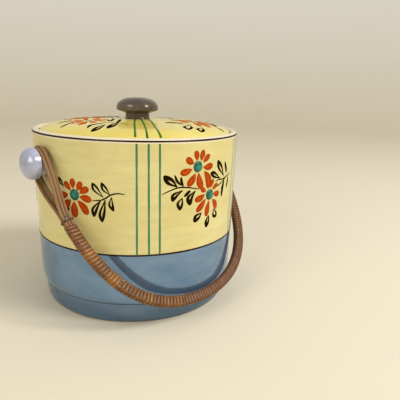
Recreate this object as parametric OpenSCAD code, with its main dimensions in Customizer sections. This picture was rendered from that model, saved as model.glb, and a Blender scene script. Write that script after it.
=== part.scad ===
// Biscuit jar: a round glazed jar with an inset lid, two ear knobs and a cane handle.
// The origin is on the jar's axis, in the plane of its foot. +Z is up, the ears lie along X,
// and the handle hangs down the -Y side.

/* [Jar] */
// Outer diameter at the rim
rim_d = 155; // [148:0.5:162]
// Height of the rim's crest above the table
jar_h = 128.8; // [120:0.2:140]
// Outer diameter just above the foot
low_d = 152; // [150:0.5:153]
// Thickness of the wall
wall = 4; // [3:0.1:5]
// Thickness of the floor
floor_t = 6; // [5:0.1:8]
// Diameter of the flat part of the floor inside
floor_flat_d = 120; // [110:1:124]
// Height of the curve from the flat part of the floor up to the wall
floor_curve_h = 12; // [10:0.5:15]
// Thickness of the rim's rounded lip
lip_t = 4.7; // [4.2:0.1:5.5]

/* [Foot] */
// Outer diameter where the foot meets the table
foot_d = 143.4; // [138:0.2:145]
// How far the foot's side swells out between the table and the groove
foot_swell = 0.5; // [0:0.05:1.5]
// Height of the groove above the table
groove_z = 14.9; // [12:0.1:17]
// Diameter at the bottom of the groove
groove_d = 146; // [144:0.2:147]
// Height of the rounded shoulder above the groove
shoulder_h = 13; // [9:0.2:15]
// Width of the foot ring that stands on the table
foot_ring_w = 8; // [6:0.5:12]
// Depth of the recess inside the foot ring
foot_recess = 8; // [5:0.5:9]

/* [Lid seat] */
// Depth of the seat below the rim's crest
seat_depth = 6.4; // [5.5:0.1:8]
// Width of the seat
seat_w = 5.5; // [4.5:0.1:7]
// Thickness of the seat's edge
seat_t = 5; // [3:0.1:7]

/* [Lid] */
// Gap all round between the lid and the lip
lid_gap = 0.8; // [0.5:0.1:1.2]
// Height of the lid's crown above the seat
lid_h = 13.3; // [12:0.1:16]
// Thickness of the lid
lid_t = 4.2; // [3.5:0.1:5]
// Diameter of the nearly flat crown
crown_d = 112; // [90:1:120]
// Rise of the crown from its edge to its middle
crown_rise = 2.8; // [1.5:0.1:4]
// Drop of the lid's rounded shoulder outside the crown
shoulder_drop = 5; // [4:0.1:6]
// Depth of the locating ring under the lid
ring_h = 4; // [3:0.1:6]
// Thickness of the locating ring
ring_t = 3; // [2.5:0.1:4]
// Gap between the locating ring and the seat's edge
ring_gap = 0.8; // [0.5:0.1:1.2]

/* [Knob] */
// Diameter of the knob
knob_d = 32; // [26:0.2:36]
// Height of the knob's top above the crown
knob_h = 16; // [14:0.2:20]
// Thickness of the knob's domed head
knob_head_h = 10; // [7:0.1:11]
// Diameter of the knob's neck
knob_neck_d = 18.4; // [14:0.2:20]

/* [Ears] */
// Height of the ears above the table
ear_z = 108.3; // [104:0.2:112]
// Diameter of an ear's neck
ear_neck_d = 16.8; // [15:0.1:18]
// Diameter of an ear's cap
ear_cap_d = 21; // [20:0.1:24]
// Thickness of the cap's straight edge
ear_edge_t = 3; // [2:0.1:4]
// Height of the cap's dome
ear_dome_h = 6.6; // [5:0.1:9]

/* [Handle] */
// Diameter of a cane
cane_d = 2.1; // [1.8:0.05:2.2]
// Gap between canes that lie side by side
cane_gap = 0.15; // [0.1:0.05:0.2]
// Distance between the front and the back row of canes, centre to centre
row_pitch = 2.5; // [2.4:0.05:2.8]
// Gap between the canes and the ears, lip and body that they pass
ear_gap = 0.3; // [0.25:0.05:0.4]
// How far the middle cane rides up on its neighbours round the ears
ear_lift = 1.2; // [0:0.1:1.5]
// Length of the handle from the ears' axis to the middle of its grip
bail_len = 121.3; // [118:0.1:124]
// How far the handle's sides belly outwards
bail_belly = 1.8; // [0:0.2:4]
// How long the sides run on straight before the bend: the curve's first pull
side_pull = 60; // [50:1:75]
// How far the grip's straight pull ends short of the handle's side
bend_pull = 13.1; // [8:0.1:20]
// How far the middle of the grip sits to the right of the jar's middle
grip_shift = -4.8; // [-8:0.2:8]
// Length of the open eye at each end, from the ears' axis
eye_len = 42; // [36:0.5:44]

/* [Handle wrapping] */
// Distance from the ears' axis to the start of the wrapping
wrap_start = 47; // [46.5:0.5:55]
// Thickness of the wrapping
wrap_t = 0.45; // [0.35:0.05:0.6]
// Gap between the canes and what is wound round them
wrap_gap = 0.1; // [0.08:0.01:0.15]
// Distance of the first joint in the wrapping inwards from the handle's left side
splice_1 = 18.75; // [15:0.25:31]
// Distance of the second joint in the wrapping inwards from the handle's left side
splice_2 = 58.75; // [47:0.25:69]
// Gap between two lengths of wrapping
splice_gap = 0.2; // [0.1:0.05:0.4]
// Diameter of the binding wire
wire_d = 0.8; // [0.6:0.05:0.9]
// Turns of wire in each binding
wire_turns = 2; // [1:1:2]

/* [Hidden] */
$fn = 180;
ARC_STEPS = 10;
// The slight curves of the foot, the lip and the floor need fewer steps
SLIGHT_STEPS = 6;
CANE_SIDES = 8;
WIRE_SIDES = 6;
WIRE_STEPS = 24;
WIRE_GAP = 0.06;
WRAP_SIDES = 20;
// How square the corners of the wrapping are: 1 is an ellipse and 0 a rectangle
CORNER_POWER = 0.4;
BAIL_STEPS = 30;
LOOP_STEPS = 12;
// The handle's rest angle is searched in steps of this many degrees
ANGLE_STEP = 0.1;
TABLE_STEPS = 80;
ANGLE_LOW = 35;
ANGLE_HIGH = 60;

rim_r = rim_d / 2;
low_r = low_d / 2;
wide_r = max(rim_r, low_r);
floor_flat_r = floor_flat_d / 2;
foot_r = foot_d / 2;
groove_r = groove_d / 2;
shoulder_z = groove_z + shoulder_h;
floor_z = foot_recess + floor_t;
lip_out_r = lip_t * 0.45;
lip_in_r = lip_t * 0.4;
lip_z = jar_h - lip_out_r;
lip_inside_r = rim_r - lip_t;
foot_edge = 0.8;

seat_z = jar_h - seat_depth;
seat_r = lip_inside_r - seat_w;
lid_r = lip_inside_r - lid_gap;
crown_r = crown_d / 2;
crown_z = seat_z + lid_h;
ring_r = seat_r - ring_gap;
lid_edge = 1.2;

cane_r = cane_d / 2;
cane_pitch = cane_d + cane_gap;
ear_pitch = side_step(ear_lift);
loop_x = wide_r + ear_gap + cane_r + ear_pitch;
loop_r = ear_neck_d / 2 + ear_gap + cane_r;
cap_x = loop_x + ear_pitch + cane_r + ear_gap;
row_n = row_pitch / 2;
wrap_in_w = cane_pitch + cane_r + wrap_gap;
wrap_in_h = row_n + cane_r + wrap_gap;
wrap_out_w = wrap_in_w + wrap_t;
wrap_out_h = wrap_in_h + wrap_t;

// Sideways step from the middle cane to the next, when the middle one lies higher by lift
function side_step(lift) = sqrt(cane_pitch * cane_pitch - lift * lift);

// An arc in the plane, from angle a to angle b round the centre c
function arc(c, r, a, b, steps = ARC_STEPS) =
    [for (i = [0:steps]) c + r * [cos(a + (b - a) * i / steps), sin(a + (b - a) * i / steps)]];

// Outer radius of the jar at the height z, between the table and the lip
function foot_side(z) =
    let (q = z / groove_z) foot_r + (groove_r - foot_r) * q + foot_swell * 4 * q * (1 - q);
function shoulder_side(z) =
    groove_r + (low_r - groove_r) * sin(acos(1 - (z - groove_z) / shoulder_h));
function wall_side(z) = low_r + (rim_r - low_r) * (z - shoulder_z) / (lip_z - shoulder_z);
function body_r(z) =
    z < groove_z ? foot_side(z) : z < shoulder_z ? shoulder_side(z) : wall_side(z);

foot_points = [for (i = [1:SLIGHT_STEPS]) let (z = groove_z * i / SLIGHT_STEPS) [foot_side(z), z]];
shoulder_points = [for (i = [1:ARC_STEPS]) let (a = 90 * i / ARC_STEPS)
    [groove_r + (low_r - groove_r) * sin(a), groove_z + shoulder_h * (1 - cos(a))]];

module jar_outline() {
    inner_top_z = seat_z - seat_t - seat_w;
    curve_w = low_r - wall - floor_flat_r;
    polygon(concat(
        [[0, foot_recess], [foot_r - foot_ring_w, foot_recess], [foot_r - foot_ring_w, 0],
         [foot_r - foot_edge, 0]],
        foot_points, shoulder_points,
        arc([rim_r - lip_out_r, lip_z], lip_out_r, 0, 90, SLIGHT_STEPS),
        arc([lip_inside_r + lip_in_r, jar_h - lip_in_r], lip_in_r, 90, 180, SLIGHT_STEPS),
        [[lip_inside_r, seat_z], [seat_r, seat_z], [seat_r, seat_z - seat_t],
         [wall_side(inner_top_z) - wall, inner_top_z]],
        [for (i = [0:SLIGHT_STEPS]) let (a = 90 * i / SLIGHT_STEPS)
            [floor_flat_r + curve_w * cos(a), floor_z + floor_curve_h * (1 - sin(a))]],
        [[0, floor_z]]
    ));
}

// The space taken up by the jar's outside, which the ears are fitted to
module jar_envelope() {
    rotate_extrude()
        polygon([[0, groove_z], [low_r, shoulder_z], [rim_r, lip_z], [0, lip_z]]);
}

module jar_body() {
    color("khaki")
        rotate_extrude()
            jar_outline();
}

// One ear: a short neck with a domed cap, along +X
module ear() {
    root_x = rim_r - wall;
    edge = 0.7;
    color("lightsteelblue")
        difference() {
            translate([0, 0, ear_z])
                rotate([0, 90, 0])
                    rotate_extrude()
                        polygon(concat(
                            [[0, root_x], [ear_neck_d / 2, root_x], [ear_neck_d / 2, cap_x],
                             [ear_cap_d / 2 - edge, cap_x], [ear_cap_d / 2, cap_x + edge]],
                            [for (i = [0:ARC_STEPS]) let (a = 90 * i / ARC_STEPS)
                                [ear_cap_d / 2 * cos(a), cap_x + ear_edge_t + ear_dome_h * sin(a)]]
                        ));
            jar_envelope();
        }
}

module ear_right() {
    ear();
}

module ear_left() {
    mirror([1, 0, 0])
        ear();
}

// The lid's outer face, from its middle to its edge: a shallow crown, then a rounder shoulder
crown_curve = (crown_r * crown_r + crown_rise * crown_rise) / (2 * crown_rise);
crown_tilt = asin(crown_r / crown_curve);
shoulder_w = lid_r - crown_r;
// The shoulder starts along the crown's slope and is an arc that ends at the lid's edge
shoulder_chord = norm([shoulder_w, shoulder_drop]);
shoulder_turn = 2 * (atan2(shoulder_drop, shoulder_w) - crown_tilt);
shoulder_curve = shoulder_chord / (2 * sin(shoulder_turn / 2));

function lid_face(sink) = concat(
    arc([0, crown_z - crown_curve], crown_curve - sink, 90, 90 - crown_tilt),
    arc([crown_r - shoulder_curve * sin(crown_tilt),
         crown_z - crown_rise - shoulder_curve * cos(crown_tilt)],
        shoulder_curve - sink, 90 - crown_tilt, 90 - crown_tilt - shoulder_turn)
);

module lid() {
    top = [for (p = lid_face(0)) if (p[0] < lid_r - lid_edge) p];
    under = [for (p = lid_face(lid_t)) if (p[0] < ring_r - ring_t) p];
    edge_z = crown_z - crown_rise - shoulder_drop;
    foot = ring_r - ring_t;
    color("gold")
        rotate_extrude()
            polygon(concat(
                top,
                [[lid_r - lid_edge / 3, edge_z], [lid_r, edge_z - lid_edge], [lid_r, seat_z + lid_edge],
                 [lid_r - lid_edge, seat_z], [ring_r, seat_z],
                 [ring_r, seat_z - ring_h], [foot, seat_z - ring_h]],
                [for (i = [len(under) - 1:-1:0]) under[i]]
            ));
}

module lid_knob() {
    neck_r = knob_neck_d / 2;
    head_r = knob_d / 2;
    neck_h = knob_h - knob_head_h;
    rim_z = crown_z + neck_h;
    rim_t = knob_head_h / 8;
    flare = neck_h / 6;
    cone_z = rim_z - neck_h / 3;
    // How full the dome's shoulders are: 1 is an ellipse and 0 a rectangle
    dome_power = 0.8;
    color("dimgray")
        difference() {
            rotate_extrude()
                polygon(concat(
                    [[0, crown_z - crown_rise], [neck_r + flare, crown_z - crown_rise],
                     [neck_r + flare, crown_z]],
                    arc([neck_r + flare, crown_z + flare], flare, -90, -180, 6),
                    [[neck_r, cone_z]],
                    arc([head_r - rim_t, rim_z + rim_t], rim_t, -60, 0, 5),
                    [for (i = [1:ARC_STEPS]) let (a = 90 * i / ARC_STEPS)
                        [head_r * pow(cos(a), dome_power),
                         rim_z + rim_t + (knob_head_h - rim_t) * pow(sin(a), dome_power)]]
                ));
            rotate_extrude()
                polygon(concat([[0, 0]], lid_face(0), [[lid_r, 0]]));
        }
}

// The handle is worked out flat, as [side, along, out]: side runs along the ears' axis, along
// runs from that axis to the grip, and out is square to both. rest() then hangs it in place.
function bezier(a, b, c, d, q) =
    pow(1 - q, 3) * a + 3 * pow(1 - q, 2) * q * b + 3 * (1 - q) * q * q * c + pow(q, 3) * d;
function bezier_pull(a, b, c, d, q) =
    3 * pow(1 - q, 2) * (b - a) + 6 * (1 - q) * q * (c - b) + 3 * q * q * (d - c);

// Half of the handle's centre line on the side g, 1 right or -1 left. It runs from the ear at
// q = 0 to the middle of the grip at q = 1, and its sideways measure is positive on that side.
bail_start = [loop_x, 0];
bail_side = [loop_x + bail_belly, side_pull];
function grip_side(g) = [g * grip_shift + loop_x - bend_pull, bail_len];
function grip_middle(g) = [g * grip_shift, bail_len];
function bail(q, g) = bezier(bail_start, bail_side, grip_side(g), grip_middle(g), q);
function bail_out(q, g) =
    let (v = bezier_pull(bail_start, bail_side, grip_side(g), grip_middle(g), q))
    [v[1], -v[0]] / norm(v);
// Height of a cane row above the handle's plane: it opens into the eye near the ear
function eye_share(along) = min(1, max(0, along / eye_len));
function row_height(along) = row_n + (loop_r - row_n) * pow(1 - pow(eye_share(along), 2.5), 2);
// How much higher than its neighbours the middle cane lies
function middle_lift(along) = ear_lift * (1 - pow(eye_share(along), 2));
// The curve's parameter at a distance from the ears' axis, and at one left of the jar's middle
along_table = [for (i = [0:TABLE_STEPS]) let (q = i / TABLE_STEPS) [bail(q, 1)[1], q]];
side_table = [for (i = [TABLE_STEPS:-1:TABLE_STEPS / 4]) let (q = i / TABLE_STEPS) [bail(q, -1)[0], q]];
function q_at_along(along) = lookup(along, along_table);
function q_at_side(side) = lookup(side, side_table);

// The handle hangs until it comes to rest against the jar, ear_gap away
function hang(p, angle) =
    [p[0], -p[1] * cos(angle) - p[2] * sin(angle), ear_z - p[1] * sin(angle) + p[2] * cos(angle)];
rest_probe = [for (v = [-0.6:0.1:0.6], a = [9:18:351])
    bail_place(v, oblong(wrap_out_w, wrap_out_h, a))];
function probe_gap(angle) =
    min([for (p = rest_probe) let (h = hang(p, angle)) norm([h[0], h[1]]) - body_r(max(0, h[2]))]);
rest_angle = max([for (a = [ANGLE_LOW:ANGLE_STEP:ANGLE_HIGH]) if (probe_gap(a) >= ear_gap) a]);
function rest(p) = hang(p, rest_angle);

// Each cane runs down the front row, round one ear, up the back row and round the other ear.
// A stop on its way is [point, outward direction], and g is the side: 1 right, -1 left.
function strand_stop(q, g, k, row) =
    let (b = bail(q, g), o = bail_out(q, g), lift = middle_lift(b[1]),
         p = b + o * k * side_step(lift))
    [[g * p[0], p[1], row * (row_height(b[1]) + (k == 0 ? lift : 0))], [g * o[0], o[1], 0]];
function loop_stop(a, g, k) =
    let (r = loop_r + (k == 0 ? ear_lift : 0))
    [[g * (loop_x + k * ear_pitch), -r * cos(a), r * sin(a)], [g, 0, 0]];
function half_strand(g, k, row) =
    [for (i = [0:BAIL_STEPS - 1]) strand_stop(i / BAIL_STEPS, g, k, row)];
function backwards(list) = [for (i = [len(list) - 1:-1:0]) list[i]];
function cane_route(k) = concat(
    half_strand(1, k, 1), [strand_stop(1, 1, k, 1)], backwards(half_strand(-1, k, 1)),
    [for (i = [1:LOOP_STEPS - 1]) loop_stop(90 - 180 * i / LOOP_STEPS, -1, k)],
    half_strand(-1, k, -1), [strand_stop(1, 1, k, -1)], backwards(half_strand(1, k, -1)),
    [for (i = [1:LOOP_STEPS - 1]) loop_stop(-90 + 180 * i / LOOP_STEPS, 1, k)]
);

// A round tube along a closed route of stops, which lie in the handle's flat layout
module closed_tube(route, radius, sides) {
    n = len(route);
    points = [for (i = [0:n - 1])
        let (way = route[(i + 1) % n][0] - route[(i + n - 1) % n][0],
             along = way / norm(way),
             lean = route[i][1] - (route[i][1] * along) * along,
             out = lean / norm(lean),
             across = cross(along, out))
        for (j = [0:sides - 1])
            rest(route[i][0] + radius * (out * cos(360 * j / sides) + across * sin(360 * j / sides)))];
    faces = [for (i = [0:n - 1], j = [0:sides - 1])
        let (a = i * sides + j,
             b = i * sides + (j + 1) % sides,
             c = ((i + 1) % n) * sides + j,
             d = ((i + 1) % n) * sides + (j + 1) % sides)
        each [[a, c, b], [b, c, d]]];
    polyhedron(points, faces, convexity = 6);
}

module cane(k) {
    color("peru")
        closed_tube(cane_route(k), cane_r, CANE_SIDES);
}

module cane_inner() {
    cane(-1);
}

module cane_middle() {
    cane(0);
}

module cane_outer() {
    cane(1);
}

// A rounded oblong round the bundle of canes, half_w by half_h, at the angle a
function oblong(half_w, half_h, a) =
    [half_w * sign(cos(a)) * pow(abs(cos(a)), CORNER_POWER),
     half_h * sign(sin(a)) * pow(abs(sin(a)), CORNER_POWER)];

// A place on the handle at v, which runs from -1 at the left ear over 0 at the grip to 1. The
// offset is [outwards, square to the handle's plane].
function bail_place(v, offset) =
    let (q = 1 - abs(v), g = v < 0 ? -1 : 1, p = bail(q, g) + bail_out(q, g) * offset[0])
    [g * p[0], p[1], offset[1]];

// One length of wrapping, as a sleeve round the canes from v1 to v2
module wrap(v1, v2) {
    m = WRAP_SIDES;
    steps = ceil((v2 - v1) * BAIL_STEPS);
    sizes = [[wrap_out_w, wrap_out_h], [wrap_in_w, wrap_in_h]];
    points = [for (i = [0:steps], size = sizes, j = [0:m - 1])
        rest(bail_place(v1 + (v2 - v1) * i / steps, oblong(size[0], size[1], 360 * (j + 0.5) / m)))];
    function id(i, layer, j) = (2 * i + layer) * m + j % m;
    function quad(a, b, c, d) = [[a, b, c], [a, c, d]];
    faces = [for (j = [0:m - 1]) each concat(
        quad(id(0, 0, j), id(0, 1, j), id(0, 1, j + 1), id(0, 0, j + 1)),
        quad(id(steps, 0, j), id(steps, 0, j + 1), id(steps, 1, j + 1), id(steps, 1, j)),
        [for (i = [0:steps - 1]) each concat(
            quad(id(i, 0, j), id(i, 0, j + 1), id(i + 1, 0, j + 1), id(i + 1, 0, j)),
            quad(id(i, 1, j), id(i + 1, 1, j), id(i + 1, 1, j + 1), id(i, 1, j + 1)))])];
    color("sienna")
        polyhedron(points, faces, convexity = 6);
}

wrap_end_v = 1 - q_at_along(wrap_start);
splice_1_x = loop_x - splice_1;
splice_2_x = loop_x - splice_2;
half_splice = splice_gap / 2;

module wrap_left() {
    wrap(-wrap_end_v, -(1 - q_at_side(splice_1_x + half_splice)));
}

module wrap_middle() {
    wrap(-(1 - q_at_side(splice_1_x - half_splice)), -(1 - q_at_side(splice_2_x + half_splice)));
}

module wrap_right() {
    wrap(-(1 - q_at_side(splice_2_x - half_splice)), wrap_end_v);
}

// Turns of wire round the bundle, between the eye and the wrapping, on the side g
module binding(g) {
    half_w = wrap_in_w + wire_d / 2;
    half_h = wrap_in_h + wire_d / 2;
    middle = (eye_len + wrap_start) / 2;
    pitch = wire_d + WIRE_GAP;
    color("slategray")
        for (turn = [0:wire_turns - 1])
            closed_tube([for (i = [0:WIRE_STEPS - 1])
                let (v = g * (1 - q_at_along(middle + pitch * (turn - (wire_turns - 1) / 2))),
                     o = oblong(half_w, half_h, 360 * (i + 0.5) / WIRE_STEPS),
                     p = bail_place(v, o))
                [p, p - bail_place(v, [0, 0])]], wire_d / 2, WIRE_SIDES);
}

module binding_left() {
    binding(-1);
}

module binding_right() {
    binding(1);
}

jar_body();
ear_left();
ear_right();
lid();
lid_knob();
cane_inner();
cane_middle();
cane_outer();
binding_left();
binding_right();
wrap_left();
wrap_middle();
wrap_right();
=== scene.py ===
# %% [markdown]
# # A biscuit jar with painted daisies and a cane handle
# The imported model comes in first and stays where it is, in metres, with +Z up, the ears along X
# and the handle hanging on the -Y side. It could be painted over with images, but this lesson
# uses only meshes and procedural materials, so every finish can be read and changed here.

# %% Load the jar
import bisect
import math
import random

import bpy
from mathutils import Matrix, Vector


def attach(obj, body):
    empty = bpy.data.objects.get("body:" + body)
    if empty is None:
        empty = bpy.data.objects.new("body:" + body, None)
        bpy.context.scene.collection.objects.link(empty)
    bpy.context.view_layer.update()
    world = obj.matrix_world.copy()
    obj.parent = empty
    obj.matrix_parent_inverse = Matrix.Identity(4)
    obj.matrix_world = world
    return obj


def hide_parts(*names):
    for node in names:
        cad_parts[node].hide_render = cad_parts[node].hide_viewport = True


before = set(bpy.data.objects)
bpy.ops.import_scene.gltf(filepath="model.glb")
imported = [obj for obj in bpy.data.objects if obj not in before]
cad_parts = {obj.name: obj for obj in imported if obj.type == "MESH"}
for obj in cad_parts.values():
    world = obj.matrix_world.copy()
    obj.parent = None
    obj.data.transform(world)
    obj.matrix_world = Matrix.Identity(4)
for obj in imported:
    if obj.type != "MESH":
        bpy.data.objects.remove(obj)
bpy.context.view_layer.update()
print("pieces of the jar:", ", ".join(sorted(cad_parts)))

# %% [markdown]
# The jar was thrown and turned, so its form is one outline spun round the axis. Paint that
# lies on it needs that outline again: the radius at each height of the wall, and the height of
# the lid at each distance from its middle. It could be measured by casting rays at the mesh, but
# the curves themselves are exact. All sizes here are millimetres, as on a drawing, and repeat
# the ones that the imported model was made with. They turn into metres when a mesh is made.

# %% The jar's outline
MM = 0.001
PER_MM = 1 / MM
RIM_R = 77.5
LIP_Z = 126.7
LIP_R = 2.115
LOW_R = 76.0
SHOULDER_Z = 27.9
GROOVE_R = 73.0
GROOVE_Z = 14.9
SHOULDER_H = SHOULDER_Z - GROOVE_Z
FOOT_R = 71.7
FOOT_SWELL = 0.5
BAND_Z = 51.8
RIM_LINE_Z = 127.1
# Arcs round the wall are measured at this radius
PAINT_R = 77.3

CROWN_Z = 135.7
CROWN_R = 56.0
CROWN_RISE = 2.8
LID_R = 72.0
SHOULDER_DROP = 5.0
# The lid is a shallow cap of a sphere, which turns down over an arc at its edge
crown_curve = (CROWN_R ** 2 + CROWN_RISE ** 2) / (2 * CROWN_RISE)
crown_tilt = math.asin(CROWN_R / crown_curve)
shoulder_w = LID_R - CROWN_R
shoulder_turn = 2 * (math.atan2(SHOULDER_DROP, shoulder_w) - crown_tilt)
shoulder_curve = math.hypot(shoulder_w, SHOULDER_DROP) / (2 * math.sin(shoulder_turn / 2))
shoulder_mid = (CROWN_R - shoulder_curve * math.sin(crown_tilt),
                CROWN_Z - CROWN_RISE - shoulder_curve * math.cos(crown_tilt))


def wall_r(z):
    """The jar's radius at a height: foot, shoulder, straight wall, and the round of the lip."""
    if z < GROOVE_Z:
        q = z / GROOVE_Z
        return FOOT_R + (GROOVE_R - FOOT_R) * q + FOOT_SWELL * 4 * q * (1 - q)
    if z < SHOULDER_Z:
        return GROOVE_R + (LOW_R - GROOVE_R) * math.sin(math.acos(1 - (z - GROOVE_Z) / SHOULDER_H))
    if z <= LIP_Z:
        return LOW_R + (RIM_R - LOW_R) * (z - SHOULDER_Z) / (LIP_Z - SHOULDER_Z)
    return RIM_R - LIP_R + math.sqrt(max(0, LIP_R ** 2 - (z - LIP_Z) ** 2))


def lid_z(r):
    """The lid's height at a distance from its middle."""
    if r < CROWN_R:
        return CROWN_Z - crown_curve + math.sqrt(crown_curve ** 2 - r ** 2)
    return shoulder_mid[1] + math.sqrt(shoulder_curve ** 2 - (min(r, LID_R) - shoulder_mid[0]) ** 2)


def on_wall(across, up, lift):
    """A place on the wall: across is the arc from the front, up the height, lift off the glaze."""
    turn = across / PAINT_R
    r = wall_r(up) + lift
    return (r * math.sin(turn), -r * math.cos(turn), up)


def on_lid(x, y, lift):
    """A place on the lid, as on a plan, lifted off the glaze."""
    return (x, y, lid_z(math.hypot(x, y)) + lift)


print(f"wall radius above the foot {wall_r(30):.1f} mm, lid edge at {lid_z(LID_R):.1f} mm")

# %% [markdown]
# A photograph is matched first by its camera. It could be moved about by eye until the picture
# fits. Here the lens is worked out from the ellipses of the rim and the band instead: their
# shapes give the height and the tilt, and their widths the distance.

# %% Camera
CAMERA_AT = Vector((-210.6, -274.0, 160.45)) * MM
CAMERA_TURN = math.radians(-46.0)
CAMERA_TILT = math.radians(90 - 14.57)
CAMERA_ROLL = math.radians(1.95)
SENSOR = 36.0
# 433 pixels of focal length in a picture of 400 pixels
LENS = SENSOR * 433 / 400

camera_data = bpy.data.cameras.new("camera")
camera_data.sensor_width = SENSOR
camera_data.lens = LENS
camera_data.clip_start = 0.01
camera = bpy.data.objects.new("camera", camera_data)
bpy.context.scene.collection.objects.link(camera)
camera.matrix_world = (Matrix.Translation(CAMERA_AT) @ Matrix.Rotation(CAMERA_TURN, 4, "Z")
                       @ Matrix.Rotation(CAMERA_TILT, 4, "X")
                       @ Matrix.Rotation(CAMERA_ROLL, 4, "Z"))
bpy.context.scene.camera = camera
print(f"lens {LENS:.1f} mm, {CAMERA_AT.length:.2f} m from the middle of the foot")

# %% [markdown]
# Colours are picked as sRGB hex values, as in a paint program, and shaders want them linear. A
# material could be wired by hand in the shader editor. Here one function fills in a node's
# sockets and another adds a node of any kind, so that each recipe reads from top to bottom.

# %% Colour and node helpers


def tint(code, alpha=1.0):
    """A linear colour from an sRGB hex value."""
    parts = [int(code[i:i + 2], 16) / 255 for i in (1, 3, 5)]
    linear = [p / 12.92 if p <= 0.04045 else ((p + 0.055) / 1.055) ** 2.4 for p in parts]
    return (*linear, alpha)


def plug(node, sockets):
    """Fills in a node's sockets, each with a number, a hex colour or a link."""
    for key, value in sockets.items():
        if isinstance(value, bpy.types.NodeSocket):
            node.id_data.links.new(value, node.inputs[key])
        else:
            node.inputs[key].default_value = tint(value) if isinstance(value, str) else value


def add(tree, kind, sockets=None, out=0, **settings):
    """Adds one node with its settings and sockets, and gives back one of its outputs."""
    made = tree.nodes.new("ShaderNode" + kind)
    for key, value in settings.items():
        setattr(made, key, value)
    plug(made, sockets or {})
    return made.outputs[out]


def new_finish(name):
    """An empty material: its node tree, its shader, and the place on the object in metres."""
    finish = bpy.data.materials.new(name)
    finish.use_nodes = True
    tree = finish.node_tree
    return finish, tree, tree.nodes["Principled BSDF"], add(tree, "TexCoord", out="Object")


print("a mid yellow in linear light:", tuple(round(c, 3) for c in tint("#DCCB7A")))

# %% [markdown]
# The jar's glaze is a yellow earthenware glaze down to the black line. Below it the same clear
# glaze carries a blue lustre: a film of metal fired on at low heat, which mirrors the room. A
# fired glaze is never quite flat: it sets in slow waves, and gas leaves a few pinholes. Both
# could be sculpted, but they are so shallow that a bump shows them just as well.

# %% Glaze skin and lustre
LUSTRE_DARK, LUSTRE_LIGHT, LUSTRE_WARM = "#6485A8", "#7F9BBA", "#8E9196"
GLAZE_IOR = 1.52
WAVE_MM = 9.0
# Real pinholes and flecks of iron are about 0.3 mm wide, and are drawn coarser so that they show
PINHOLE_MM = 1.1
FLECK_MM = 1.6


def patches(tree, place, size_mm, cut, reach=(0.0, 1.0), detail=3.0, rough=0.5):
    """Soft patches of about size_mm: noise cut off at two levels, and spread over reach."""
    cloud = add(tree, "TexNoise", {"Vector": place, "Scale": PER_MM / size_mm, "Detail": detail,
                                   "Roughness": rough})
    return add(tree, "MapRange", {0: cloud, 1: cut[0], 2: cut[1], 3: reach[0], 4: reach[1]})


def glaze_skin(tree, place, depth_mm):
    """The slow waves of a fired glaze and its pinholes, as a bump."""
    waves = add(tree, "TexNoise", {"Vector": place, "Scale": PER_MM / WAVE_MM, "Detail": 2.0})
    pits = patches(tree, place, PINHOLE_MM, (0.24, 0.3), detail=1.0)
    height = add(tree, "Math", {0: pits, 1: 0.35, 2: waves}, operation="MULTIPLY_ADD")
    return add(tree, "Bump", {"Height": height, "Distance": depth_mm * MM, "Strength": 0.5})


def lustre_colour(tree, place):
    """Pooled and thinned patches of the metal film, drawn out along the brush's way round."""
    drawn = add(tree, "Mapping", {"Vector": place, "Scale": (1.0, 1.0, 2.5)})
    cloud = patches(tree, drawn, 32, (0.3, 0.7), detail=4.0, rough=0.6)
    streak = patches(tree, drawn, 8, (0.5, 0.8), (0.0, 0.35), rough=0.6)
    blue = add(tree, "Mix", {0: cloud, 6: LUSTRE_DARK, 7: LUSTRE_LIGHT}, 2, data_type="RGBA")
    return add(tree, "Mix", {0: streak, 6: blue, 7: LUSTRE_WARM}, 2, data_type="RGBA")


print("waves", WAVE_MM, "mm long, pinholes", PINHOLE_MM, "mm wide")

# %% [markdown]
# The lip, the inside and a narrow strip under the rim are left cream, and the ring that stands
# on the table is bare clay. Each zone could be a material of its own on its own faces. One
# material holds them all instead, split by height and by radius, because the real jar is one
# piece of clay and its zones meet in crisp edges under the lines.

# %% The wall's glaze


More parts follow.
